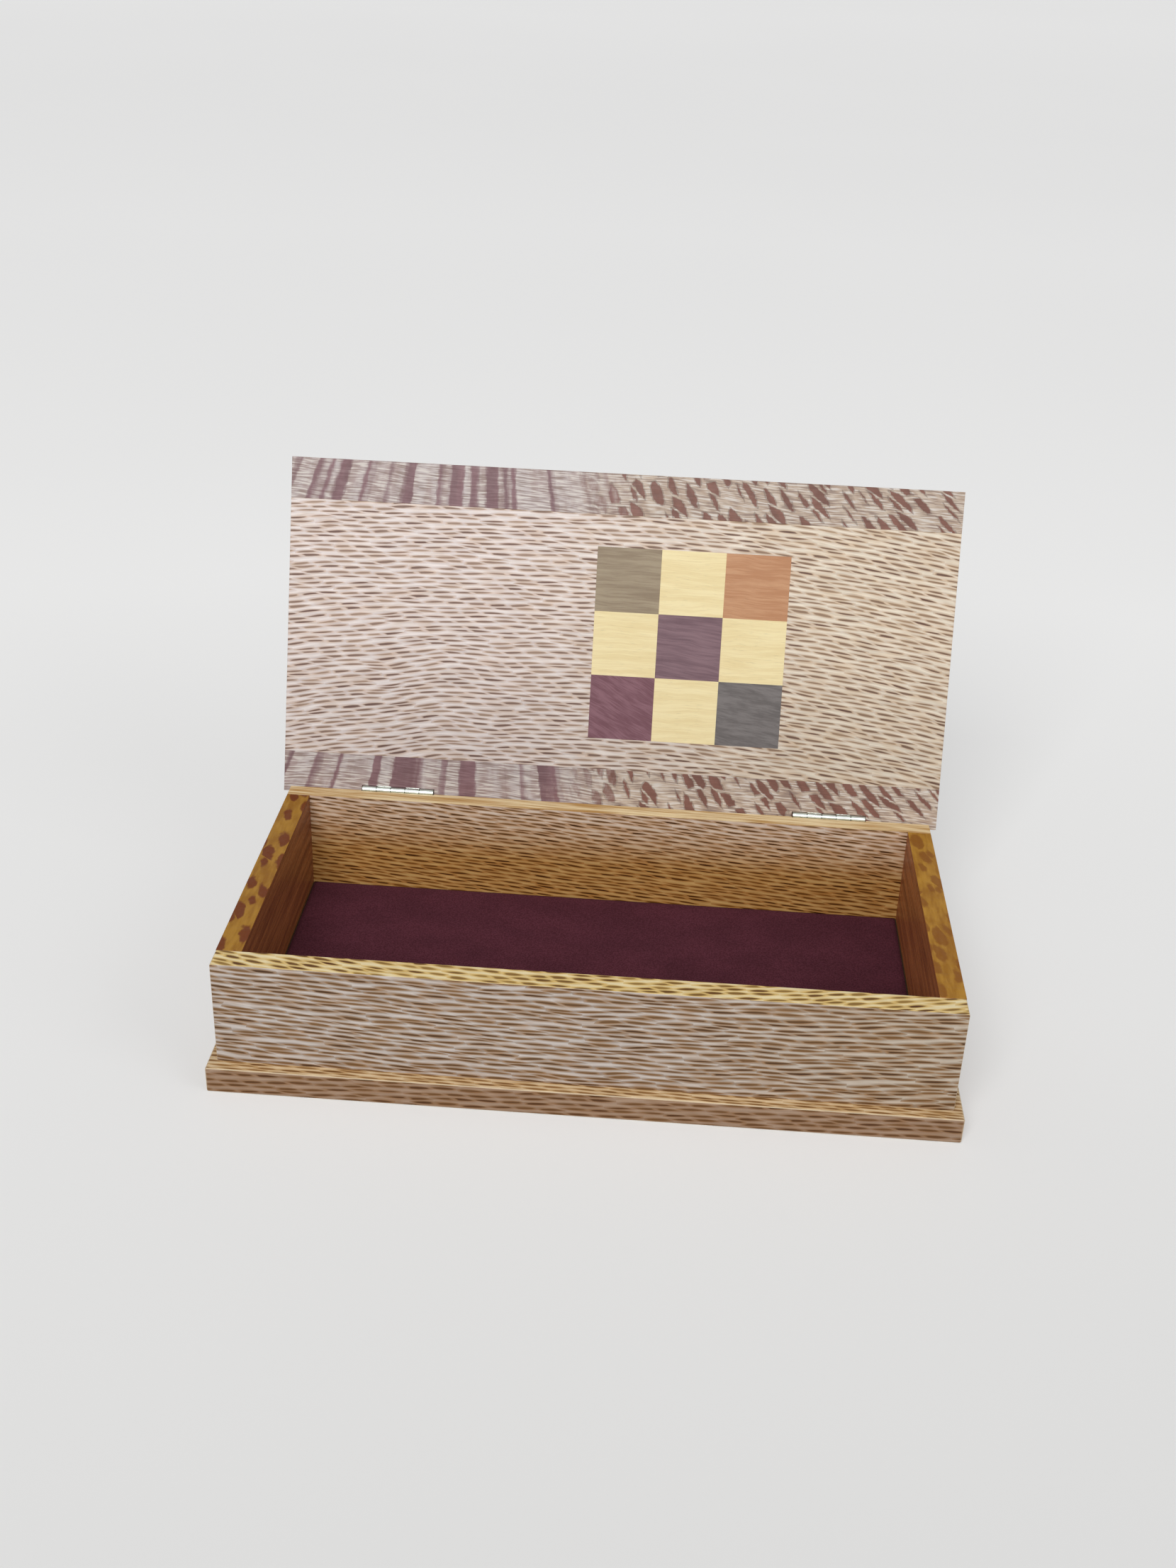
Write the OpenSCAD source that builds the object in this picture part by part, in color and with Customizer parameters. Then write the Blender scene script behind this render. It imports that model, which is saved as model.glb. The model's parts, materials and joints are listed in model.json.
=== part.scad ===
// Wooden keepsake box: four butt-jointed walls on a projecting base board, a felt floor,
// and a three-board lid with a nine-patch inlay that turns on two slot-fitted hinges.
// Millimetres, +Z up, +Y to the back. The origin is the centre of the base's underside.
// The lid stands open, leaning on its stop.

/* [Walls] */
// Width of the box over its side boards
box_w = 270; // [220:1:340]
// Depth of the box over its front and back boards
box_d = 134.5; // [124:0.5:200]
// Height of the wall boards above the base
wall_h = 42.8; // [30:0.1:80]
// Thickness of the front board
front_t = 9.3; // [7:0.1:14]
// Thickness of each side board
side_t = 9.5; // [7:0.1:14]
// Thickness of the back board
back_t = 7.3; // [7:0.1:14]

/* [Base] */
// Thickness of the base board
base_t = 10.6; // [6:0.1:18]
// How far the base stands out in front of the front board and behind the back board
base_lip_ends = 5; // [1:0.1:10]
// How far the base stands out past each side board
base_lip_sides = 3.5; // [1:0.1:10]

/* [Lining] */
// Thickness of the felt
felt_t = 1.2; // [0.6:0.1:3]
// Gap between the felt's edge and the walls
felt_gap = 0.6; // [0.3:0.1:2]

/* [Lid] */
// Thickness of the lid boards
lid_t = 9.5; // [7:0.1:14]
// How far the closed lid stands out past each side board
lid_lip_sides = 3.2; // [0:0.1:8]
// How far the closed lid stands out in front of the front board
lid_lip_front = 2; // [0:0.1:8]
// How far the lid reaches past the hinge axis at its back edge
lid_past_axis = 2.65; // [2.3:0.05:4]
// Width of the lid's front board
front_band_w = 16.8; // [8:0.1:20]
// Width of the lid's back board
back_band_w = 17.3; // [12:0.1:20]
// Gap between the rim and the closed lid
rim_gap = 0.2; // [0.1:0.05:1]
// Angle of the open lid from closed, in degrees
open_angle = 109; // [95:1:115]
// Gap between the open lid's back edge and the back board
stop_gap = 0.2; // [0.1:0.05:1]

/* [Inlay] */
// Side of one inlay square
inlay_square = 26.6; // [15:0.1:32]
// Distance of the inlay's middle to the right of the lid's middle
inlay_shift = 30; // [-50:0.5:50]

/* [Hinges] */
// Length of a hinge
hinge_len = 30.2; // [20:0.1:50]
// Distance of the left hinge from the left end of the back board
left_inset = 30.6; // [15:0.1:60]
// Distance of the right hinge from the right end of the back board
right_inset = 26.7; // [15:0.1:60]
// Number of knuckles, an odd number
knuckle_count = 5; // [3:2:7]
// Gap between neighbouring knuckles
knuckle_gap = 0.2; // [0.2:0.05:0.6]
// Outer diameter of the barrel
barrel_d = 2.8; // [2.6:0.1:4.4]
// Diameter of the pin
pin_d = 1.2; // [1:0.1:1.8]
// Running clearance around the pin in the turning knuckles
pin_clear = 0.05; // [0.02:0.01:0.1]
// Thickness of a leaf
leaf_t = 0.8; // [0.5:0.1:0.9]
// Width of a leaf, from the hinge axis to its far edge
leaf_w = 6.5; // [4:0.1:7.5]
// Clearance around the barrel in its notch
notch_clear = 0.2; // [0.2:0.05:0.6]
// Gap between each end of the barrel and the end of its notch
notch_end = 0.4; // [0.4:0.1:2]

/* [Hidden] */
$fn = 64;
// How far a cutting shape runs past the face that it opens
past = 1;
lean = open_angle - 90;
barrel_r = barrel_d / 2;
notch_r = barrel_r + notch_clear;
rim_z = base_t + wall_h;

// The hinge axis lies halfway between the rim and the closed lid, and far enough behind the
// back board for the lid's back edge to pass down behind the board.
axis_out = lid_past_axis * sin(lean) - rim_gap / 2 * cos(lean) + stop_gap;
axis_y = box_d / 2 + axis_out;
axis_z = rim_z + rim_gap / 2;

// Faces of the closed lid, measured from the hinge axis
lid_w = box_w + 2 * lid_lip_sides;
lid_front_y = -axis_y - box_d / 2 - lid_lip_front;
lid_back_y = lid_past_axis;
lid_low_z = rim_gap / 2;
front_joint_y = lid_front_y + front_band_w;
back_joint_y = lid_back_y - back_band_w;
inlay_side = 3 * inlay_square;
inlay_y = (front_joint_y + back_joint_y) / 2;

// Middles of the two hinges, left and right
left_x = -box_w / 2 + left_inset + hinge_len / 2;
right_x = box_w / 2 - right_inset - hinge_len / 2;
knuckle_pitch = (hinge_len + knuckle_gap) / knuckle_count;
knuckle_len = knuckle_pitch - knuckle_gap;

lacewood = [0.77, 0.68, 0.58];
band_wood = [0.72, 0.63, 0.57];
olive_wood = [0.59, 0.54, 0.45];
yellow_wood = [0.94, 0.86, 0.65];
orange_wood = [0.75, 0.54, 0.39];
purple_wood = [0.47, 0.36, 0.38];
maroon_wood = [0.48, 0.31, 0.35];
grey_wood = [0.41, 0.40, 0.40];
felt_maroon = [0.27, 0.14, 0.20];
nickel = [0.80, 0.79, 0.74];

// A block between two opposite corners
module block(low, high) {
    translate(low)
        cube(high - low);
}

// A round bar along X, centred on the hinge axis and on x
module bar(x, d, len) {
    translate([x - len / 2, 0, 0])
        rotate([0, 90, 0])
            cylinder(d = d, h = len);
}

// Places what is drawn around the hinge axis on the box
module at_axis() {
    translate([0, axis_y, axis_z])
        children();
}

// Turns what is drawn as the closed lid to its open place
module open_lid() {
    at_axis()
        rotate([-open_angle, 0, 0])
            children();
}

// A full-width lid board between two depths, measured from the hinge axis
module lid_board(front_y, back_y) {
    block([-lid_w / 2, front_y, lid_low_z], [lid_w / 2, back_y, lid_low_z + lid_t]);
}

// Flat plate of a leaf, centred on x; side is 1 in the lid and -1 in the wall
module leaf_plate(x, side, near_y) {
    top = side > 0 ? barrel_r : leaf_t - barrel_r;
    block([x - hinge_len / 2, -leaf_w, top - leaf_t], [x + hinge_len / 2, near_y, top]);
}

// Room for one hinge: the slot for its leaf and the round notch for its barrel
module hinge_room(x, side) {
    leaf_plate(x, side, 0);
    bar(x, 2 * notch_r, hinge_len + 2 * notch_end);
}

// One leaf with its share of the knuckles, from knuckle number first on
module hinge_leaf(x, side, first, bore_d) {
    top = side > 0 ? barrel_r : leaf_t - barrel_r;
    difference() {
        union() {
            leaf_plate(x, side, -notch_r);
            for (i = [first : 2 : knuckle_count - 1]) {
                start = x - hinge_len / 2 + i * knuckle_pitch;
                bar(start + knuckle_len / 2, barrel_d, knuckle_len);
                block([start, -notch_r - leaf_t, top - leaf_t], [start + knuckle_len, 0, top]);
            }
        }
        bar(x, bore_d, hinge_len + 2 * past);
    }
}

// The leaf in the wall holds the end knuckles, and grips the pin
module wall_leaf(x) {
    color(nickel)
        at_axis()
            hinge_leaf(x, -1, 0, pin_d);
}

// The leaf in the lid turns on the pin
module lid_leaf(x) {
    color(nickel)
        open_lid()
            hinge_leaf(x, 1, 1, pin_d + 2 * pin_clear);
}

module hinge_pin(x) {
    color(nickel)
        at_axis()
            bar(x, pin_d, hinge_len);
}

module base_plate() {
    half_w = box_w / 2 + base_lip_sides;
    half_d = box_d / 2 + base_lip_ends;
    color(lacewood)
        block([-half_w, -half_d, 0], [half_w, half_d, base_t]);
}

module felt_lining() {
    half_w = box_w / 2 - side_t - felt_gap;
    front_y = -box_d / 2 + front_t + felt_gap;
    back_y = box_d / 2 - back_t - felt_gap;
    color(felt_maroon)
        block([-half_w, front_y, base_t], [half_w, back_y, base_t + felt_t]);
}

module front_wall() {
    color(lacewood)
        block([-box_w / 2, -box_d / 2, base_t], [box_w / 2, front_t - box_d / 2, rim_z]);
}

module back_wall() {
    color(lacewood)
        difference() {
            block([-box_w / 2, box_d / 2 - back_t, base_t], [box_w / 2, box_d / 2, rim_z]);
            for (x = [left_x, right_x])
                at_axis()
                    hinge_room(x, -1);
        }
}

// A side board, butted between the front and back boards
module side_wall(low_x) {
    color(lacewood)
        block([low_x, front_t - box_d / 2, base_t], [low_x + side_t, box_d / 2 - back_t, rim_z]);
}

module left_side() {
    side_wall(-box_w / 2);
}

module right_side() {
    side_wall(box_w / 2 - side_t);
}

module lid_front_band() {
    color(band_wood)
        open_lid()
            lid_board(lid_front_y, front_joint_y);
}

// The centre board has a square opening right through it for the inlay
module lid_centre_board() {
    half = inlay_side / 2;
    color(lacewood)
        open_lid()
            difference() {
                lid_board(front_joint_y, back_joint_y);
                translate([inlay_shift, inlay_y, 0])
                    block([-half, -half, lid_low_z - past], [half, half, lid_low_z + lid_t + past]);
            }
}

// The back board carries the hinges; their notches run out at its back edge
module lid_back_band() {
    notch_half = hinge_len / 2 + notch_end;
    color(band_wood)
        open_lid()
            difference() {
                lid_board(back_joint_y, lid_back_y);
                for (x = [left_x, right_x]) {
                    hinge_room(x, 1);
                    block([x - notch_half, 0, lid_low_z - past], [x + notch_half, lid_back_y + past, notch_r]);
                }
            }
}

// One inlay square; column and row count from the middle, rows towards the lid's back edge
module inlay_tile(column, row, tint) {
    half = inlay_square / 2;
    color(tint)
        open_lid()
            translate([inlay_shift + column * inlay_square, inlay_y + row * inlay_square, 0])
                block([-half, -half, lid_low_z], [half, half, lid_low_z + lid_t]);
}

base_plate();
felt_lining();
front_wall();
back_wall();
left_side();
right_side();
lid_front_band();
lid_centre_board();
lid_back_band();
inlay_tile(-1, -1, olive_wood);  // inlay_front_left
inlay_tile(0, -1, yellow_wood);  // inlay_front_centre
inlay_tile(1, -1, orange_wood);  // inlay_front_right
inlay_tile(-1, 0, yellow_wood);  // inlay_middle_left
inlay_tile(0, 0, purple_wood);  // inlay_middle_centre
inlay_tile(1, 0, yellow_wood);  // inlay_middle_right
inlay_tile(-1, 1, maroon_wood);  // inlay_back_left
inlay_tile(0, 1, yellow_wood);  // inlay_back_centre
inlay_tile(1, 1, grey_wood);  // inlay_back_right
wall_leaf(left_x);  // left_wall_leaf
lid_leaf(left_x);  // left_lid_leaf
hinge_pin(left_x);  // left_hinge_pin
wall_leaf(right_x);  // right_wall_leaf
lid_leaf(right_x);  // right_lid_leaf
hinge_pin(right_x);  // right_hinge_pin
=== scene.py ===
"""Looks of a wooden keepsake box: figured woods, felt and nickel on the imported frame."""
import json
import math
from dataclasses import dataclass

import bmesh
import bpy
from mathutils import Matrix, Vector, noise


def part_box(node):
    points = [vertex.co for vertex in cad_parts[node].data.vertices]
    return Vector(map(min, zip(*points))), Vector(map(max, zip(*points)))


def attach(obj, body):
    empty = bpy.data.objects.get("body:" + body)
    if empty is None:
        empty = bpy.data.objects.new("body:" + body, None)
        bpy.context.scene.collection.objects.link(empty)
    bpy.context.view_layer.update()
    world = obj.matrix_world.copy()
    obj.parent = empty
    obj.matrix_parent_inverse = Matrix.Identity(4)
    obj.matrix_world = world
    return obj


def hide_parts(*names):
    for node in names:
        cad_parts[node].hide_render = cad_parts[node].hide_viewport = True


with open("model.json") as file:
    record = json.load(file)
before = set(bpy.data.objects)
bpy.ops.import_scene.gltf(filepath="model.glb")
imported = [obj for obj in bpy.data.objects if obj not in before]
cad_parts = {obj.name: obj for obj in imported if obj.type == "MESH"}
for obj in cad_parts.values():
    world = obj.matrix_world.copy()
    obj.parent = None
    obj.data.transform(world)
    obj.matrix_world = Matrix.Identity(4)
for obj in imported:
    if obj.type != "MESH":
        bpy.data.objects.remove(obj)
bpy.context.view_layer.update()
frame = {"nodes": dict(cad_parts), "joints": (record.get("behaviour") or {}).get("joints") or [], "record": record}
nodes = frame["nodes"]

MM = 0.001

# Camera at the photograph's viewing angle: place in metres, turn in degrees, lens in millimetres
CAMERA_AT = (0.02185, -0.56594, 0.40591)
CAMERA_TURN = (61.57, -1.92, 3.79)
CAMERA_LENS = 39.4
CAMERA_SENSOR = 36.0
CAMERA_NEAR = 10 * MM

# Rounding of edges, in metres
BASE_ARRIS = 0.7 * MM
WALL_ARRIS = 0.5 * MM
JOINT_ARRIS = 0.1 * MM
HINGE_ARRIS = 0.1 * MM
ARRIS_STEPS = 3
ARRIS_ANGLE = math.radians(40)
WELD_GAP = 0.002 * MM

# The lid turns about this axis, and the frame holds it open by this angle
lid_joint = frame["joints"][0]
HINGE_AT = Vector(lid_joint["pos_m"])
OPEN_ANGLE = math.radians(lid_joint["range_deg"][1])
LID_TURN = Matrix.Rotation(OPEN_ANGLE, 3, "X")


def tint(red, green, blue):
    """A shader colour from the 0 to 255 values that it has on screen"""
    def linear(value):
        value /= 255
        return value / 12.92 if value <= 0.04045 else ((value + 0.055) / 1.055) ** 2.4
    return (linear(red), linear(green), linear(blue), 1.0)


WHITE = (1.0, 1.0, 1.0, 1.0)

# Noise mostly lies between these values, and a seed of 1 shifts it by this much along each axis
NOISE_SPAN = (0.3, 0.7)
SEED_SHIFT = (1.0, 0.37, 0.61)

# How far each row of scattered flecks is shifted along the row before it, as a share of their spacing
STAGGER = 0.38

# How fast the outline of a fleck falls from the border of its cell inwards, per step
BORDER_FALL = -6.0

# Shares of a normal along an axis: a face is square to the axis, and a rounded edge gets a painted highlight
SQUARE_ON = (0.6, 0.8)
EDGE_HIGHLIGHT_ROUND = (0.995, 0.85)

BUMP_STRENGTH = 0.5


class Finish:
    """A material whose nodes are added by short calls; most of them return an output socket"""

    def __init__(self, name, on_lid=False):
        self.material = bpy.data.materials.new(name)
        self.material.use_nodes = True
        self.tree = self.material.node_tree
        self.shader = self.tree.nodes["Principled BSDF"]
        self.coordinates = self.tree.nodes.new("ShaderNodeTexCoord").outputs
        self.turn = LID_TURN if on_lid else Matrix.Identity(3)
        self.origin = HINGE_AT if on_lid else Vector()

    def put(self, socket, value):
        if isinstance(value, bpy.types.NodeSocket):
            self.tree.links.new(value, socket)
        else:
            socket.default_value = value

    def surface(self, **values):
        """Sets the shader's own inputs, whose names are written with underscores"""
        for name, value in values.items():
            self.put(self.shader.inputs[name.replace("_", " ")], value)

    def node(self, kind, inputs, **settings):
        made = self.tree.nodes.new(kind)
        for name, value in settings.items():
            setattr(made, name, value)
        for name, value in inputs.items():
            self.put(made.inputs[name], value)
        return made

    def math(self, operation, first, second=0.0, third=0.0):
        inputs = {0: first, 1: second, 2: third}
        return self.node("ShaderNodeMath", inputs, operation=operation).outputs[0]

    def range(self, value, low, high, to_low=0.0, to_high=1.0):
        """Maps low..high to to_low..to_high with smooth ends"""
        inputs = {0: value, 1: low, 2: high, 3: to_low, 4: to_high}
        return self.node("ShaderNodeMapRange", inputs, interpolation_type="SMOOTHSTEP").outputs[0]

    def vary(self, wave, low, high):
        """Maps the usual span of a noise to low..high"""
        return self.range(wave, *NOISE_SPAN, low, high)

    def centred(self, value, width):
        """Maps 0..1 to a span of that width about 0"""
        return self.math("MULTIPLY_ADD", value, width, -width / 2)

    def mix(self, amount, first, second, blend="MIX"):
        inputs = {0: amount, 6: first, 7: second}
        return self.node("ShaderNodeMix", inputs, data_type="RGBA", blend_type=blend).outputs[2]

    def multiply(self, colour, other, amount=1.0):
        return self.mix(amount, colour, other, "MULTIPLY")

    def shade(self, colour, factor):
        """Multiplies a colour by a number"""
        return self.multiply(colour, self.join(factor, factor, factor))

    def ramp(self, value, stops):
        """Colours along a value from 0 to 1, from (place, colour) stops"""
        made = self.node("ShaderNodeValToRGB", {0: value})
        points = made.color_ramp.elements
        while len(points) < len(stops):
            points.new(1.0)
        for point, (place, colour) in zip(points, stops):
            point.position = place
            point.color = colour
        return made.outputs[0]

    def split(self, vector):
        return self.node("ShaderNodeSeparateXYZ", {0: vector}).outputs

    def join(self, x, y, z=0.0):
        return self.node("ShaderNodeCombineXYZ", {0: x, 1: y, 2: z}).outputs[0]

    def moved(self, vector, scale, shift=(0, 0, 0), turn=(0, 0, 0)):
        inputs = {"Vector": vector, "Scale": scale, "Location": shift, "Rotation": turn}
        return self.node("ShaderNodeMapping", inputs).outputs[0]

    def place(self):
        """Millimetres in the box's frame, or in the closed lid's frame from the hinge axis"""
        shift = -(self.turn @ self.origin) / MM
        scale = (1 / MM, 1 / MM, 1 / MM)
        return self.split(self.moved(self.coordinates["Object"], scale, shift, self.turn.to_euler()))

    def facing(self):
        """How squarely the surface faces along X, Y and Z of the same frame, from 0 to 1"""
        turned = self.moved(self.coordinates["Normal"], (1, 1, 1), turn=self.turn.to_euler())
        return [self.range(self.math("ABSOLUTE", part), *SQUARE_ON) for part in self.split(turned)]

    def noise(self, place, step, seed=0.0, detail=2.0):
        """Smooth noise about 0.5, whose bumps measure about step along each axis of the place"""
        vector = self.moved(place, [1 / part for part in step], [seed * part for part in SEED_SHIFT])
        inputs = {"Vector": vector, "Scale": 1.0, "Detail": detail}
        return self.node("ShaderNodeTexNoise", inputs).outputs["Fac"]

    def cells(self, along, across, step, seed, jitter):
        """Scattered middles about step apart, in staggered rows.

        Returns how far along and across the nearest one lies, both in millimetres, how far it and
        the border to the next one are, both in steps, and three random numbers for each middle.
        """
        shear = STAGGER / step[1]
        u = self.math("MULTIPLY_ADD", across, shear, self.math("DIVIDE", along, step[0]))
        v = self.math("DIVIDE", across, step[1])
        place = self.moved(self.join(u, v), (1, 1, 1), (seed, seed, 0))
        inputs = {"Vector": place, "Scale": 1.0, "Randomness": jitter}
        made = self.node("ShaderNodeTexVoronoi", inputs, voronoi_dimensions="2D")
        border = self.node("ShaderNodeTexVoronoi", inputs, voronoi_dimensions="2D",
                           feature="DISTANCE_TO_EDGE").outputs["Distance"]
        apart = self.node("ShaderNodeVectorMath", {0: place, 1: made.outputs["Position"]},
                          operation="SUBTRACT").outputs[0]
        apart_u, apart_v, _ = self.split(apart)
        apart_u = self.math("MULTIPLY_ADD", apart_v, -STAGGER, apart_u)
        off_along = self.math("MULTIPLY", apart_u, step[0])
        off_across = self.math("MULTIPLY", apart_v, step[1])
        chance = self.split(made.outputs["Color"])
        return off_along, off_across, made.outputs["Distance"], border, chance

    def lens(self, along, across, length, width):
        """0 in the middle of a pointed lens shape, 1 on its outline and more outside"""
        half = self.math("DIVIDE", along, length / 2)
        return self.math("MULTIPLY_ADD", half, half, self.math(
            "DIVIDE", self.math("ABSOLUTE", across), width / 2))

    def within(self, outline, border, level):
        """Raises an outline to that level at the border of its cell, so that it closes before it"""
        return self.math("MAXIMUM", outline, self.math("MULTIPLY_ADD", border, BORDER_FALL, level))

    def painted_edge_highlight(self, colour, pale, amount):
        """Paints a highlight on the rounded edges, where the surface faces along no axis"""
        parts = [self.math("ABSOLUTE", part) for part in self.split(self.coordinates["Normal"])]
        most = self.math("MAXIMUM", self.math("MAXIMUM", parts[0], parts[1]), parts[2])
        return self.mix(self.range(most, *EDGE_HIGHLIGHT_ROUND, 0.0, amount), colour, pale)

    def bump(self, height, depth):
        """Raises the surface by up to depth metres where the height is 1"""
        inputs = {"Height": height, "Strength": BUMP_STRENGTH, "Distance": depth}
        self.surface(Normal=self.node("ShaderNodeBump", inputs).outputs[0])


@dataclass
class Flecks:
    """Ray flecks on one face of a board.

    The colours run from a fleck's core over its fringe and the ground to the palest fibres. Sizes
    are in millimetres: size is the length and width of a fleck, and step the spacing along and
    across the grain. Rows slope by tilt, bend by arch per millimetre and wander by sway.
    """
    core: tuple
    fringe: tuple
    ground: tuple
    pale: tuple
    size: tuple
    step: tuple
    tilt: float = 0.0
    arch: float = 0.0
    sway: float = 0.8
    seed: float = 0.0


# Bumps in the noises of all flecks, in millimetres along and across the grain
WANDER = (28, 6.5, 1)
RAGGED = (3.0, 0.4, 1)
FIBRES = (9, 0.42, 1)
CLOUDS = (10, 3, 1)

# How flecks differ: in place, slope, size, raggedness of the outline and paleness of the core
FLECK_JITTER = 0.52
FLECK_TWIST = 0.05
FLECK_SPREAD = 0.4
FLECK_RAGGED = 0.36
FLECK_FADE = 0.45

# Values of the outline, which is 1 on the edge of a fleck, over which the core and the fringe fade
CORE_EDGE = (0.4, 1.2)
PORE_EDGE = (0.6, 1.2)
FRINGE_EDGE = (0.9, 1.7)
FRINGE_SHARE = 0.65
FLECK_BORDER = 1.6

# The ground pales between the rows, has clouds of the fringe's colour, and is shaded by fibres
ROW_SHARE = 0.55
BETWEEN_ROWS = (0.24, 0.58)
CLOUD_EDGE = (0.45, 0.7)
CLOUD_SHARE = 0.35
FIBRE_SHADES = (0.9, 1.08)


def flecked(f, along, across, figure):
    """Colour of a flecked face, and its height: 0 in the flecks and 1 on the ground"""
    seed = figure.seed
    lift = f.centred(f.noise(f.join(along, across), WANDER, seed + 3, 1.0), 2 * figure.sway)
    slope = f.math("MULTIPLY_ADD", along, figure.arch, figure.tilt)
    row = f.math("ADD", f.math("MULTIPLY_ADD", along, slope, across), lift)
    flat = f.join(along, row)
    cell = f.cells(along, row, figure.step, seed, FLECK_JITTER)
    off_along, off_across, from_middle, border, chance = cell
    twisted = f.math("MULTIPLY_ADD", off_along, f.centred(chance[1], FLECK_TWIST), off_across)
    outline = f.lens(off_along, twisted, *figure.size)
    outline = f.math("ADD", outline, f.centred(chance[0], FLECK_SPREAD))
    outline = f.within(outline, border, FLECK_BORDER)
    outline = f.math("ADD", outline, f.centred(f.noise(flat, RAGGED, seed + 7), FLECK_RAGGED))
    from_row = f.math("MULTIPLY", f.math("ABSOLUTE", off_across), ROW_SHARE / figure.step[1])
    between = f.math("MULTIPLY_ADD", from_middle, 1 - ROW_SHARE, from_row)
    ground = f.mix(f.range(between, *BETWEEN_ROWS), figure.ground, figure.pale)
    cloud = f.range(f.noise(flat, CLOUDS, seed + 17), *CLOUD_EDGE, 0.0, CLOUD_SHARE)
    ground = f.mix(cloud, ground, figure.fringe)
    ground = f.mix(f.range(outline, *FRINGE_EDGE, FRINGE_SHARE, 0.0), ground, figure.fringe)
    ground = f.shade(ground, f.vary(f.noise(flat, FIBRES, seed + 13), *FIBRE_SHADES))
    core = f.mix(f.math("MULTIPLY", chance[2], FLECK_FADE), figure.core, figure.fringe)
    colour = f.mix(f.range(outline, *CORE_EDGE, 1.0, 0.0), ground, core)
    return colour, f.range(outline, *PORE_EDGE)


# Plain grain changes from dark to pale over these values of its noise
STREAK_SPAN = (0.36, 0.64)


def streaked(f, along, across, dark, pale, seed, grain):
    """Plain straight grain along one direction: dark and pale fibres of that length and width"""
    length, width = grain
    flat = f.join(along, across)
    broad = f.noise(flat, (length * 2, width * 4, 1), seed)
    fine = f.noise(flat, (length, width, 1), seed + 5, 3.0)
    both = f.math("MULTIPLY", f.math("ADD", broad, fine), 0.5)
    return f.mix(f.range(both, *STREAK_SPAN), dark, pale)


# Flecked faces of the boards
LID_FACE = Flecks(tint(103, 74, 66), tint(214, 185, 160), tint(215, 199, 194), tint(239, 228, 223),
                  size=(11.2, 0.84), step=(9.2, 2.0), arch=0.0006, sway=1.2, seed=4.0)
FRONT_FACE = Flecks(tint(74, 48, 27), tint(163, 123, 81), tint(158, 140, 125), tint(203, 193, 186),
                    size=(12.6, 0.82), step=(10.8, 2.08), arch=-0.00025, sway=1.4, seed=9.0)
RIM_FACE = Flecks(tint(84, 41, 4), tint(216, 177, 96), tint(232, 201, 135), tint(250, 233, 187),
                  size=(8.2, 1.55), step=(8.4, 2.7), arch=-0.0008, sway=0.6, seed=15.0)
BACK_FACE = Flecks(tint(60, 33, 14), tint(196, 150, 101), tint(202, 169, 142), tint(236, 217, 198),
                   size=(10.4, 0.7), step=(9.0, 1.8), tilt=0.08, sway=1.0, seed=21.0)
BASE_FACE = Flecks(tint(78, 44, 14), tint(140, 100, 60), tint(147, 116, 91), tint(168, 141, 119),
                   size=(10.0, 0.95), step=(9.0, 2.3), tilt=-0.03, sway=0.6, seed=27.0)
LEDGE_FACE = Flecks(tint(116, 76, 38), tint(190, 149, 97), tint(197, 163, 117), tint(230, 206, 168),
                    size=(10.0, 0.9), step=(9.4, 1.8), tilt=0.03, sway=0.5, seed=57.0)
END_GRAIN = Flecks(tint(110, 74, 46), tint(158, 118, 80), tint(170, 134, 100), tint(186, 152, 118),
                   size=(3.2, 0.8), step=(4.4, 2.1), sway=0.4, seed=33.0)

# Satin lacquer: size of its unevenness and depth of the pores in metres, roughness, top coat and gloss
LACQUER_BUMPS = (1.5 * MM, 1.5 * MM, 1.5 * MM)
PORE_DEPTH = 0.06 * MM
LACQUER_ROUGHNESS = (0.34, 0.5)
COAT_SHARE = 0.2
COAT_ROUGHNESS = 0.25
LID_GLOSS = 0.3
WALL_GLOSS = 0.2
SIDE_GLOSS = 0.15


def satin(f, colour, height, depth=PORE_DEPTH, gloss=LID_GLOSS):
    """Satin lacquer over wood, with the pores of the flecks just felt"""
    fine = f.noise(f.coordinates["Object"], LACQUER_BUMPS, detail=3.0)
    f.surface(Base_Color=colour, Roughness=f.vary(fine, *LACQUER_ROUGHNESS))
    f.surface(Coat_Weight=gloss * COAT_SHARE, Coat_Roughness=COAT_ROUGHNESS, Specular_IOR_Level=gloss)
    f.bump(height, depth)
    return f.material


# Rows of the lid's middle board, in millimetres from the hinge axis and from the lid's middle: on
# the left they bend more and more towards the front edge, and near the hinges they cross a ridge
BEND = -0.0004
BEND_UP = (30, 110)
RIDGE_AT = -72.0
RIDGE_HALF = 26
RIDGE_SHIFT = -1.5
RIDGE_UP = (78, 50)

# The board is warmer on the right, and darker near the hinges with painted shade
LID_WARMTH = (0.975, 0.955, 0.81, 1.0)
LID_WARM_X = (-60, 100)
LID_PAINTED_SHADE = 0.88
LID_PAINTED_SHADE_UP = (15, 90)


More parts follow.
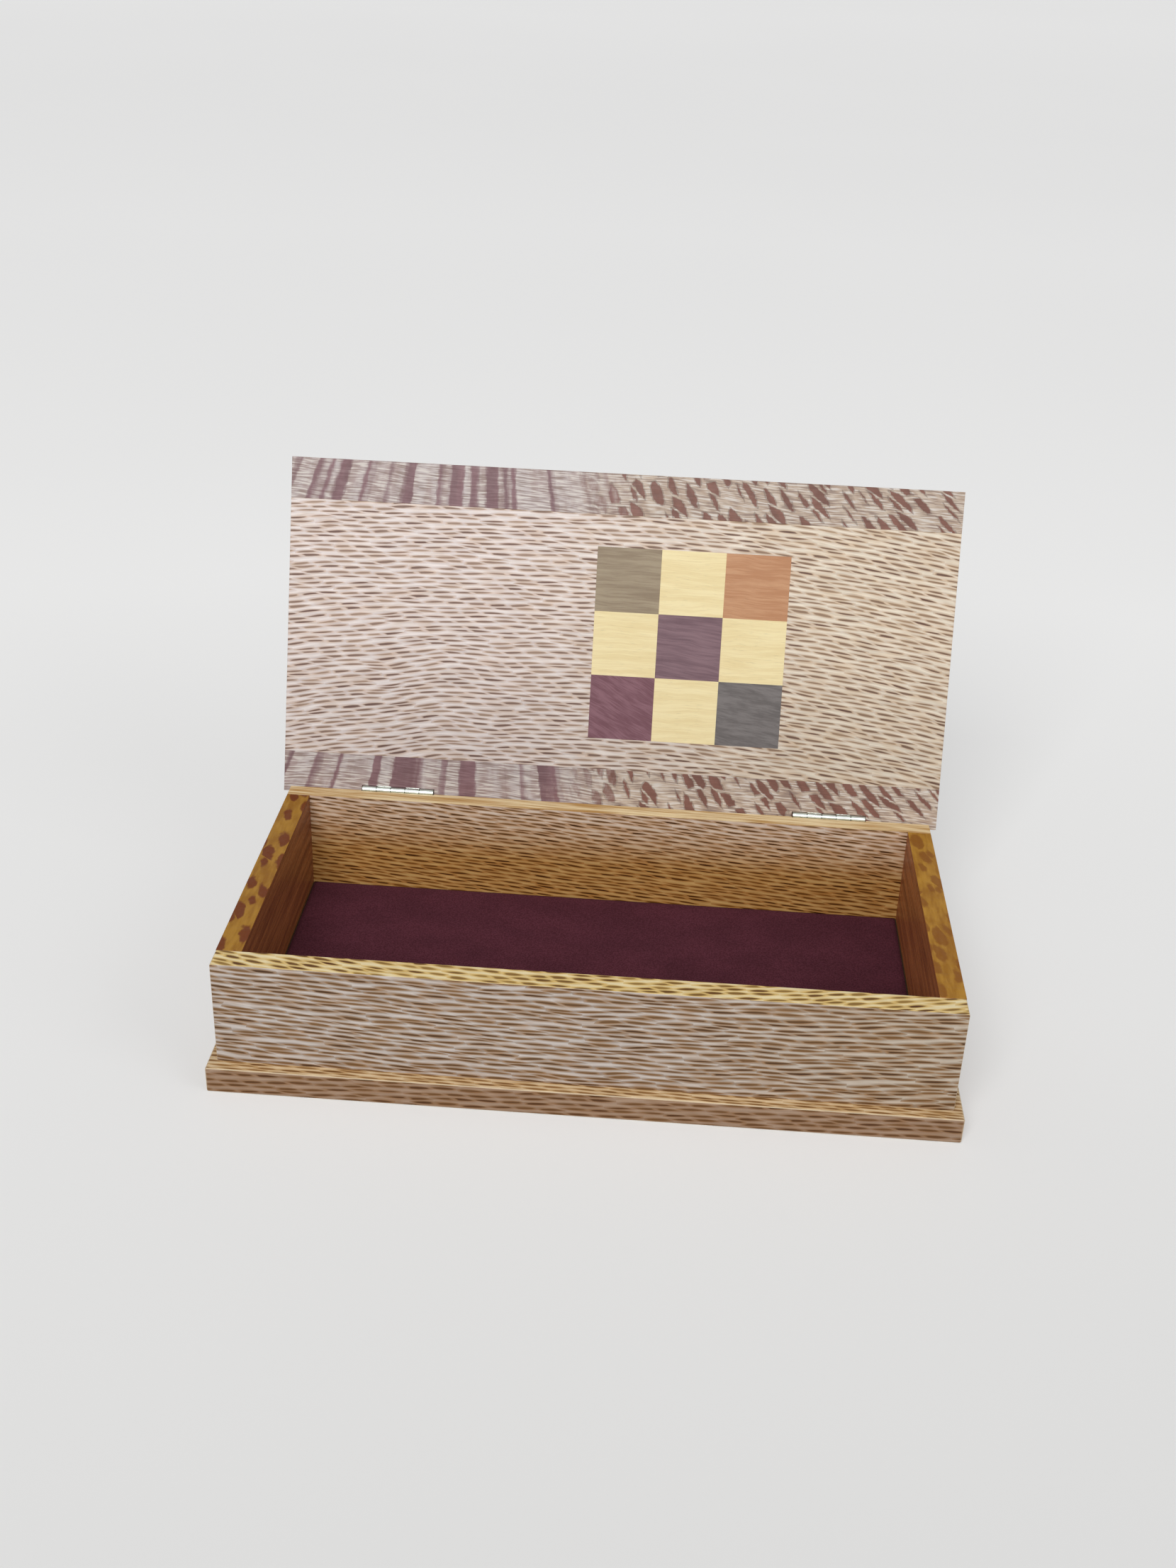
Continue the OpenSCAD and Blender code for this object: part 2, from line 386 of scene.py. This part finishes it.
def lid_board_finish():
    """The lid's middle board: fine flecks in gently bent rows"""
    f = Finish("lid_wood", on_lid=True)
    x, y, z = f.place()
    face_x, face_y, _ = f.facing()
    up = f.math("MULTIPLY", y, -1.0)
    left = f.math("MINIMUM", x, 0.0)
    bend = f.math("MULTIPLY", f.math("MULTIPLY", left, left), f.range(up, *BEND_UP, 0.0, BEND))
    from_ridge = f.math("ABSOLUTE", f.math("SUBTRACT", x, RIDGE_AT))
    ridge = f.range(from_ridge, 0, RIDGE_HALF, RIDGE_SHIFT, 0.0)
    ridge = f.math("MULTIPLY", ridge, f.range(up, *RIDGE_UP))
    face, height = flecked(f, x, f.math("ADD", f.math("ADD", up, bend), ridge), LID_FACE)
    face = f.multiply(face, f.mix(f.range(x, *LID_WARM_X), WHITE, LID_WARMTH))
    # Painted shade towards the hinges
    face = f.shade(face, f.range(up, *LID_PAINTED_SHADE_UP, LID_PAINTED_SHADE, 1.0))
    edge, _ = flecked(f, x, z, RIM_FACE)
    end, _ = flecked(f, y, z, END_GRAIN)
    colour = f.mix(face_x, f.mix(face_y, face, edge), end)
    return satin(f, colour, height)


# Tints of the long walls fade over these millimetres: the painted shade up from the foot and into the box, and the
# tint on the right along it
PAINTED_SHADE_Z = (54, 26)
INSIDE_Y = (65, 62)
RIGHT_X = (0, 130)

# Painted highlight on the rounded arrises of the walls and the base
EDGE_HIGHLIGHT = tint(226, 208, 176)
EDGE_HIGHLIGHT_SHARE = 0.65


def wall_finish(name, figure, rim, foot=WHITE, right=WHITE):
    """A long wall: flecked faces, with painted shade inside at the foot and a tint on the right, a rim and end
    grain
    """
    f = Finish(name)
    x, y, z = f.place()
    face_x, _, face_z = f.facing()
    face, height = flecked(f, x, z, figure)
    # Painted shade: the inside is darkened and turned golden towards the foot
    low = f.math("MULTIPLY", f.range(z, *PAINTED_SHADE_Z), f.range(y, *INSIDE_Y))
    face = f.multiply(face, foot, low)
    face = f.multiply(face, f.mix(f.range(x, *RIGHT_X), WHITE, right))
    end, _ = flecked(f, y, z, END_GRAIN)
    colour = f.mix(face_z, f.mix(face_x, face, end), rim(f, x, y))
    # Painted highlight on the rounded edges
    colour = f.painted_edge_highlight(colour, EDGE_HIGHLIGHT, EDGE_HIGHLIGHT_SHARE)
    return satin(f, colour, height, gloss=WALL_GLOSS)


def front_rim(f, x, y):
    """Short bold flecks on a golden ground"""
    colour, _ = flecked(f, x, y, RIM_FACE)
    return colour


# Slope of the grain on the rim of the back board
BACK_RIM_SLOPE = 0.05


def back_rim(f, x, y):
    """Plain golden grain that runs off at a slope"""
    across = f.math("MULTIPLY_ADD", x, BACK_RIM_SLOPE, y)
    return streaked(f, x, across, tint(190, 142, 77), tint(255, 233, 187), seed=51.0, grain=(20, 0.8))


# The glued patch of the base board ends below the walls, at these millimetres from its middle
PATCH_X = 130.0
PATCH_Y = 63.0
PATCH_FADE = 1.0


def base_ledge(f, x, y):
    """The ledge round the walls, and the glued patch under the felt"""
    ledge, _ = flecked(f, x, y, LEDGE_FACE)
    from_ends = f.math("SUBTRACT", f.math("ABSOLUTE", x), PATCH_X)
    from_sides = f.math("SUBTRACT", f.math("ABSOLUTE", y), PATCH_Y)
    outside = f.range(f.math("MAXIMUM", from_ends, from_sides), -PATCH_FADE, PATCH_FADE)
    return f.mix(outside, tint(62, 54, 40), ledge)


# The two sides differ on the left and on the right of the box, and each one inside and outside
LEFT_TO_RIGHT = (-40, 40)
OUTSIDE_X = (129, 131)
RIM_SHADES = (1.05, 1.15)
# Painted light: the inside of the right side is lighter than that of the left by these shades
INNER_PAINTED_LIGHT = (1.0, 1.36)

# Spots on the rims of the sides: spacing along and across in millimetres, and how they differ
SPOT_STEP = (14.0, 6.6)
SPOT_JITTER = 0.9
SPOT_SPREAD = 0.3
SPOT_RAGGED = 0.45
SPOT_BUMPS = (3.0, 5.0, 1)
SPOT_EDGE = (0.77, 0.62)
SPOT_SHARES = (0.92, 0.8)


def side_rim(f, x, y):
    """Golden grain with round spots, darker on the left"""
    golden = streaked(f, y, x, tint(150, 101, 28), tint(178, 131, 48), seed=67.0, grain=(9, 2.0))
    golden = f.shade(golden, f.range(x, *LEFT_TO_RIGHT, *RIM_SHADES))
    uneven = f.noise(f.join(x, y), SPOT_BUMPS, 71.0)
    _, _, from_middle, _, chance = f.cells(y, x, SPOT_STEP, 73.0, SPOT_JITTER)
    reach = f.math("MULTIPLY_ADD", chance[0], SPOT_SPREAD, from_middle)
    reach = f.math("MULTIPLY_ADD", uneven, SPOT_RAGGED, reach)
    spot = f.math("MULTIPLY", f.range(reach, *SPOT_EDGE), f.range(x, *LEFT_TO_RIGHT, *SPOT_SHARES))
    dark = f.mix(f.range(x, *LEFT_TO_RIGHT), tint(112, 48, 14), tint(138, 82, 22))
    return f.mix(spot, golden, dark)


def side_finish():
    """A short wall: golden spotted rim, plain inside darkened with painted shade, and flecked outside"""
    f = Finish("side_wood")
    x, y, z = f.place()
    _, _, face_z = f.facing()
    # The inside's dark colour is painted shade, lightened on the right by painted light
    shaded_inner = streaked(f, y, z, tint(124, 71, 43), tint(168, 106, 64), seed=61.0, grain=(30, 0.8))
    shaded_inner = f.shade(shaded_inner, f.range(x, *LEFT_TO_RIGHT, *INNER_PAINTED_LIGHT))
    outer, height = flecked(f, y, z, FRONT_FACE)
    is_outer = f.range(f.math("ABSOLUTE", x), *OUTSIDE_X)
    colour = f.mix(face_z, f.mix(is_outer, shaded_inner, outer), side_rim(f, x, y))
    return satin(f, colour, height, gloss=SIDE_GLOSS)


# The two bands of the lid lie on either side of these millimetres from the hinge axis, with their
# middles at the next two
BANDS_PART = (60, 70)
BAND_MIDDLES = (7.0, 129.0)

# Figures lean across a band by LEAN, and more to the right by LEAN_GROWTH for each millimetre
LEAN = 0.32
LEAN_GROWTH = 0.0052

# Stripes: bumps of their noise, where it turns dark in each band, over how much, and their share
STRIPES = (5.5, 40, 1)
STRIPE_STARTS = (0.46, 0.5)
STRIPE_FADE = 0.12
STRIPE_SHARE = 0.9

# Leaves: spacing, length and width in millimetres, their share, how they differ, and their serrated
# dark outline
LEAF_STEP = (6.4, 8.5)
LEAF_SIZE = (11.0, 3.6)
LEAF_SHARE = 0.98
LEAF_JITTER = 0.85
LEAF_SPREAD = 1.2
LEAF_LEAST = -0.45
LEAF_BORDER = 1.5
LEAF_SERRATED = 0.5
SERRATIONS = (1.5, 1.2, 1)
LEAF_EDGE = (0.85, 1.05)
LEAF_RIM_AT = 1.1
LEAF_RIM_HALF = 0.25
LEAF_RIM_SHARE = 0.6

# Stripes give way to leaves along a stretch of the lid. Their borders are ragged: bumps of the noise,
# and how far it moves the stripes and the start of the leaves, in millimetres
LEAVES_FROM = (-15, 25)
BAND_RAGGED = (1.6, 3.0, 1)
STRIPES_RAGGED = 2.2
LEAVES_RAGGED = 30.0

# Fine lines of a band: bumps, slope and sags in millimetres, where they turn pale and dark and how
# much, and how they shade the stripes and leaves
LINES = (8, 0.65, 1)
LINE_SLOPE = 0.04
LINE_SAGS = (40, 30, 1)
LINE_SAG = 5.0
PALE_LINE = (0.51, 0.64)
PALE_SHARE = 0.85
DARK_LINE = (0.49, 0.36)
DARK_SHARE = 0.8
LINE_SHADES = (0.92, 1.1)

# Silk of a band: bumps, where it turns from dark to pale, and how it shades the stripes and leaves
SILK = (5, 30, 1)
SILK_SPAN = (0.35, 0.65)
SILK_SHADES = (0.86, 1.16)

# The lower band is shaded, more on the left than on the right
BAND_SHADE_UP = (15, 60)
BAND_SHADE_X = (-60, 60)
BAND_SHADES = (0.95, 1.02)


def leaves(f, x, up, along):
    """Leaf-shaped flecks: 1 in the leaves, and up to LEAF_RIM_SHARE on their outlines"""
    off_along, off_across, _, border, chance = f.cells(along, up, LEAF_STEP, 83.0, LEAF_JITTER)
    outline = f.lens(off_across, off_along, *LEAF_SIZE)
    outline = f.math("ADD", outline, f.math("MULTIPLY_ADD", chance[0], LEAF_SPREAD, LEAF_LEAST))
    outline = f.within(outline, border, LEAF_BORDER)
    serrated = f.noise(f.join(x, up), SERRATIONS, 85.0)
    outline = f.math("ADD", outline, f.centred(serrated, LEAF_SERRATED))
    from_rim = f.math("ABSOLUTE", f.math("SUBTRACT", outline, LEAF_RIM_AT))
    rim = f.range(from_rim, 0.0, LEAF_RIM_HALF, LEAF_RIM_SHARE, 0.0)
    return f.range(outline, *LEAF_EDGE, 1.0, 0.0), rim


def band_finish():
    """Quarter-cut lid band: silver ground with broad stripes on the left and leaf flecks on the right"""
    f = Finish("band_wood", on_lid=True)
    x, y, z = f.place()
    face_x, face_y, _ = f.facing()
    up = f.math("MULTIPLY", y, -1.0)
    flat = f.join(x, up)
    ragged = f.noise(flat, BAND_RAGGED, 81.0, 3.0)
    right = f.range(f.math("MULTIPLY_ADD", ragged, LEAVES_RAGGED, x), *LEAVES_FROM)

    # Stripes and leaves lean across the band
    middle = f.range(up, *BANDS_PART, *BAND_MIDDLES)
    rise = f.math("SUBTRACT", up, middle)
    lean = f.math("MULTIPLY_ADD", x, LEAN_GROWTH, LEAN)
    along = f.math("MULTIPLY_ADD", rise, lean, f.math("MULTIPLY_ADD", ragged, STRIPES_RAGGED, x))
    start = f.range(up, *BANDS_PART, *STRIPE_STARTS)
    stripe = f.noise(f.join(along, middle), STRIPES, 91.0, 1.0)
    stripe = f.range(stripe, start, f.math("ADD", start, STRIPE_FADE))
    leaf, rim = leaves(f, x, up, along)
    inside = f.math("MULTIPLY_ADD", right, f.math("SUBTRACT", leaf, stripe), stripe)
    share = f.math("MULTIPLY_ADD", right, LEAF_SHARE - STRIPE_SHARE, STRIPE_SHARE)
    inside = f.math("MULTIPLY", inside, share)

    # Ground of silk and fine lines
    sag = f.noise(flat, LINE_SAGS, 93.0, 1.0)
    line = f.math("MULTIPLY_ADD", x, LINE_SLOPE, f.math("MULTIPLY_ADD", sag, LINE_SAG, up))
    fine = f.noise(f.join(x, line), LINES, 87.0, 1.0)
    silk = f.noise(f.join(along, up), SILK, 89.0)
    sheen = f.range(silk, *SILK_SPAN)
    grey = f.mix(sheen, tint(172, 152, 148), tint(192, 180, 178))
    beige = f.mix(sheen, tint(178, 155, 136), tint(199, 181, 163))
    ground = f.mix(right, grey, beige)
    ground = f.mix(f.range(fine, *PALE_LINE, 0.0, PALE_SHARE), ground, tint(218, 210, 202))
    ground = f.mix(f.range(fine, *DARK_LINE, 0.0, DARK_SHARE), ground, tint(142, 122, 112))
    ground = f.mix(f.math("MULTIPLY", rim, right), ground, tint(112, 96, 88))

    # Dark insides of the stripes and leaves
    blotch = f.mix(right, tint(118, 81, 87), tint(121, 80, 68))
    blotch = f.shade(blotch, f.vary(silk, *SILK_SHADES))
    blotch = f.shade(blotch, f.vary(fine, *LINE_SHADES))
    shaded = f.range(x, *BAND_SHADE_X, *BAND_SHADES)
    face = f.shade(f.mix(inside, ground, blotch), f.range(up, *BAND_SHADE_UP, shaded, 1.0))

    edge, _ = flecked(f, x, z, BASE_FACE)
    end, _ = flecked(f, y, z, END_GRAIN)
    colour = f.mix(face_x, f.mix(face_y, face, edge), end)
    return satin(f, colour, f.math("SUBTRACT", 1.0, inside))


# Inlay squares: bends of the grain, and width of its fibres and pores, in millimetres
INLAY_BENDS = (14, 9, 1)
INLAY_BEND = 2.5
INLAY_FIBRE = 0.6
INLAY_PORE = 0.28
INLAY_PORE_SHARE = 0.3
INLAY_PORE_EDGE = (0.58, 0.75)
INLAY_PORE_SHADE = 0.86
INLAY_PORE_DEPTH = 0.02 * MM


def inlay_finish(name, dark, pale, slope, length, seed):
    """A small square of plain wood, its grain along the box or at a slope across it"""
    f = Finish(name, on_lid=True)
    x, y, _ = f.place()
    bend = f.noise(f.join(x, y), INLAY_BENDS, seed + 2, 1.0)
    across = f.math("MULTIPLY_ADD", bend, INLAY_BEND, f.math("MULTIPLY_ADD", x, -slope, y))
    grain = streaked(f, x, across, dark, pale, seed, (length, INLAY_FIBRE))
    pores = f.noise(f.join(x, across), (length * INLAY_PORE_SHARE, INLAY_PORE, 1), seed + 9)
    colour = f.shade(grain, f.range(pores, *INLAY_PORE_EDGE, 1.0, INLAY_PORE_SHADE))
    return satin(f, colour, pores, INLAY_PORE_DEPTH)


# Felt: bumps of its fibres and its nap, and depth of the fibres, in metres, and shades of the nap
FELT_FIBRES = (0.6 * MM, 0.6 * MM, 0.6 * MM)
FELT_NAP = (22 * MM, 14 * MM, 10 * MM)
FELT_DEPTH = 0.35 * MM
NAP_SHADES = (0.9, 1.1)


def felt_finish():
    """Dark maroon wool felt: matted fibres and a faint nap"""
    f = Finish("felt")
    place = f.coordinates["Object"]
    fibres = f.noise(place, FELT_FIBRES, 3.0, 4.0)
    nap = f.noise(place, FELT_NAP, 5.0)
    colour = f.mix(f.range(fibres, *NOISE_SPAN), tint(70, 32, 41), tint(92, 48, 60))
    colour = f.shade(colour, f.vary(nap, *NAP_SHADES))
    f.surface(Base_Color=colour, Roughness=0.95, Specular_IOR_Level=0.1)
    f.surface(Sheen_Weight=0.15, Sheen_Roughness=0.6, Sheen_Tint=tint(150, 90, 110))
    f.bump(fibres, FELT_DEPTH)
    return f.material


# Nickel: bumps of its rubbing marks and its clouds in millimetres, depth of the marks in metres, where
# the clouds turn from dark to pale, and how rough the marks make it
RUBBING_MARKS = (3.0, 0.25, 0.25)
NICKEL_CLOUDS = (4.0, 4.0, 4.0)
MARK_DEPTH = 0.01 * MM
NICKEL_CLOUD_EDGE = (0.35, 0.65)
NICKEL_ROUGHNESS = (0.24, 0.38)


def nickel_finish():
    """Polished nickel plate with fine rubbing marks along the barrel"""
    f = Finish("nickel")
    place = f.join(*f.place())
    marks = f.noise(place, RUBBING_MARKS, 7.0, 3.0)
    cloud = f.range(f.noise(place, NICKEL_CLOUDS, 9.0), *NICKEL_CLOUD_EDGE)
    colour = f.mix(cloud, tint(206, 214, 206), tint(224, 232, 225))
    f.surface(Base_Color=colour, Metallic=1.0, Roughness=f.vary(marks, *NICKEL_ROUGHNESS))
    f.bump(marks, MARK_DEPTH)
    return f.material


def dress(name, material, arris):
    """Gives a CAD node its finish and eases its edges"""
    piece = nodes[name]
    piece.data.materials.clear()
    piece.data.materials.append(material)
    weld = piece.modifiers.new("weld", "WELD")
    weld.merge_threshold = WELD_GAP
    bevel = piece.modifiers.new("arris", "BEVEL")
    bevel.width = arris
    bevel.segments = ARRIS_STEPS
    bevel.limit_method = "ANGLE"
    bevel.angle_limit = ARRIS_ANGLE
    normals = piece.modifiers.new("normals", "WEIGHTED_NORMAL")
    normals.keep_sharp = True


front_wood = wall_finish("front_wood", FRONT_FACE, front_rim, right=tint(248, 242, 228))
# The back wall's foot tint is painted shade on the inside at the foot
back_wood = wall_finish("back_wood", BACK_FACE, back_rim, foot=tint(218, 189, 130))
base_wood = wall_finish("base_wood", BASE_FACE, base_ledge)
side_wood = side_finish()
lid_wood = lid_board_finish()
band_wood = band_finish()
nickel = nickel_finish()

dress("base_plate", base_wood, BASE_ARRIS)
dress("front_wall", front_wood, WALL_ARRIS)
dress("back_wall", back_wood, WALL_ARRIS)
dress("left_side", side_wood, JOINT_ARRIS)
dress("right_side", side_wood, JOINT_ARRIS)
dress("lid_front_band", band_wood, JOINT_ARRIS)
dress("lid_back_band", band_wood, JOINT_ARRIS)
dress("lid_centre_board", lid_wood, JOINT_ARRIS)

# Dark and pale colour, slope and length in millimetres of the grain of each inlaid wood
INLAY_WOODS = {
    "olive_wood": (tint(142, 124, 101), tint(164, 148, 123), 0.0, 12),
    "yellow_wood": (tint(238, 217, 163), tint(248, 231, 181), 0.0, 14),
    "orange_wood": (tint(186, 132, 93), tint(202, 152, 113), 0.05, 10),
    "purple_wood": (tint(112, 84, 92), tint(136, 107, 114), 0.1, 11),
    "maroon_wood": (tint(114, 72, 82), tint(138, 97, 107), 0.5, 5),
    "grey_wood": (tint(100, 94, 92), tint(124, 118, 116), 0.15, 5),
}

# Seed of the first square's grain, and how much it grows for each next one
INLAY_SEED = 57.0
INLAY_SEED_STEP = 3.0

inlay_seed = INLAY_SEED
for subpart in frame["record"]["subparts"]:
    node, slot = subpart["node"], subpart["material_slot"]
    if slot in INLAY_WOODS:
        dress(node, inlay_finish(node, *INLAY_WOODS[slot], inlay_seed), JOINT_ARRIS)
        inlay_seed += INLAY_SEED_STEP
    if slot == "nickel":
        dress(node, nickel, HINGE_ARRIS)

# The felt sheet: squares of its grid, bumps per metre in its top, and its heights in metres
FELT_GRID = (160, 76)
FELT_BROAD = 60
FELT_FINE = 500
FELT_TOP = 0.12 * MM
FELT_RISE = 0.1 * MM
FELT_DROP = 0.45 * MM
FELT_EDGE = 1.1 * MM
FELT_FOOT = 0.02 * MM


def felt_sheet():
    """The felt as a laid sheet: a fine grid with a slightly uneven top and soft edges"""
    low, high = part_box("felt_lining")
    body = bmesh.new()
    bmesh.ops.create_grid(body, x_segments=FELT_GRID[0], y_segments=FELT_GRID[1], size=0.5)
    for vert in body.verts:
        x = low.x + (vert.co.x + 0.5) * (high.x - low.x)
        y = low.y + (vert.co.y + 0.5) * (high.y - low.y)
        inset = min(x - low.x, high.x - x, y - low.y, high.y - y)
        drop = (1 - min(inset / FELT_EDGE, 1)) ** 2
        broad = noise.noise((x * FELT_BROAD, y * FELT_BROAD, 0))
        fine = noise.noise((x * FELT_FINE, y * FELT_FINE, 3))
        vert.co = (x, y, high.z - FELT_TOP - FELT_RISE * (broad + fine) / 2 - FELT_DROP * drop)
    rim = [item for item in body.edges if item.is_boundary]
    skirt = bmesh.ops.extrude_edge_only(body, edges=rim)["geom"]
    for vert in [item for item in skirt if isinstance(item, bmesh.types.BMVert)]:
        vert.co.z = low.z + FELT_FOOT
    foot = [item for item in skirt if isinstance(item, bmesh.types.BMEdge)]
    bmesh.ops.contextual_create(body, geom=foot)
    bmesh.ops.recalc_face_normals(body, faces=body.faces)
    for face in body.faces:
        face.smooth = len(face.verts) == 4
    mesh = bpy.data.meshes.new("felt_sheet")
    body.to_mesh(mesh)
    body.free()
    mesh.materials.append(felt_finish())
    piece = bpy.data.objects.new("felt_sheet", mesh)
    bpy.context.scene.collection.objects.link(piece)
    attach(piece, "box")
    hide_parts("felt_lining")


felt_sheet()

# Lamps: place and size in metres, and power in watts. They look at the middle of the box
LAMPS = {
    "key": ((-0.25, -1.5, 1.35), 1.1, 27),
    "fill": ((1.5, -0.9, 1.1), 1.2, 6.2),
}
LAMPS_LOOK_AT = Vector((0, 0.03, 0.07))

# Strength of the white surround, as light and as a backdrop
WORLD_LIGHT = 0.22
WORLD_BACKDROP = 0.7

# Floor: size, gap below the box and cloudiness in metres
FLOOR_SIZE = 24
FLOOR_GAP = 0.2 * MM
FLOOR_CLOUDS = (0.6, 0.6, 0.6)

# Where the lamps fade, the floor that is seen glows more: (share of the reach, strength) from the
# middle of the lit floor, in metres
GLOW_MIDDLE = (0.102, -1.098)
GLOW_REACH = 6
FLOOR_GLOW = [(0.0, 0.0), (0.1, 0.06), (0.185, 0.31), (0.26, 0.45), (0.45, 0.52), (1.0, 0.56)]


def lamp(name, at, size, power):
    """A square soft light"""
    light = bpy.data.lights.new(name, "AREA")
    light.size = size
    light.energy = power
    holder = bpy.data.objects.new(name, light)
    holder.location = at
    holder.rotation_euler = (LAMPS_LOOK_AT - Vector(at)).to_track_quat("-Z", "Y").to_euler()
    bpy.context.scene.collection.objects.link(holder)


def seen_rays(tree):
    """1 where the camera, a mirror-like surface or glass looks, and 0 for light that falls on things"""
    path = tree.nodes.new("ShaderNodeLightPath").outputs
    seen = path["Is Camera Ray"]
    for kind in ("Is Glossy Ray", "Is Transmission Ray"):
        either = tree.nodes.new("ShaderNodeMath")
        either.operation = "MAXIMUM"
        tree.links.new(seen, either.inputs[0])
        tree.links.new(path[kind], either.inputs[1])
        seen = either.outputs[0]
    return seen


def pale_world():
    """An even white surround that is seen as a pale backdrop"""
    world = bpy.data.worlds.new("studio")
    world.use_nodes = True
    tree = world.node_tree
    level = tree.nodes.new("ShaderNodeMapRange")
    level.inputs["To Min"].default_value = WORLD_LIGHT
    level.inputs["To Max"].default_value = WORLD_BACKDROP
    tree.links.new(seen_rays(tree), level.inputs["Value"])
    surround = tree.nodes["Background"]
    surround.inputs["Color"].default_value = WHITE
    tree.links.new(level.outputs["Result"], surround.inputs["Strength"])
    bpy.context.scene.world = world


def pale_floor():
    """A large pale floor that keeps the box's shadow"""
    bpy.ops.mesh.primitive_plane_add(size=FLOOR_SIZE, location=(0, 0, -FLOOR_GAP))
    floor = bpy.context.object
    floor.name = "floor"
    f = Finish("floor")
    place = f.coordinates["Object"]
    cloud = f.noise(place, FLOOR_CLOUDS, 2.0)
    f.surface(Base_Color=f.mix(cloud, tint(206, 206, 205), tint(214, 214, 213)), Roughness=0.8)
    shift = (-GLOW_MIDDLE[0] / GLOW_REACH, -GLOW_MIDDLE[1] / GLOW_REACH, 0)
    from_middle = f.moved(place, (1 / GLOW_REACH, 1 / GLOW_REACH, 1), shift)
    distance = f.node("ShaderNodeVectorMath", {0: from_middle}, operation="LENGTH").outputs["Value"]
    glow = f.ramp(distance, [(share, (level, level, level, 1)) for share, level in FLOOR_GLOW])
    f.surface(Emission_Color=glow, Emission_Strength=seen_rays(f.tree))
    floor.data.materials.append(f.material)


def photo_camera():
    """The camera, and colours shown as they are"""
    lens = bpy.data.cameras.new("camera")
    lens.lens = CAMERA_LENS
    lens.sensor_fit = "VERTICAL"
    lens.sensor_height = CAMERA_SENSOR
    lens.clip_start = CAMERA_NEAR
    camera = bpy.data.objects.new("camera", lens)
    camera.location = CAMERA_AT
    camera.rotation_euler = [math.radians(angle) for angle in CAMERA_TURN]
    bpy.context.scene.collection.objects.link(camera)
    bpy.context.scene.camera = camera
    bpy.context.scene.view_settings.view_transform = "Standard"


pale_floor()
pale_world()
for lamp_name, (lamp_at, lamp_size, lamp_power) in LAMPS.items():
    lamp(lamp_name, lamp_at, lamp_size, lamp_power)
photo_camera()
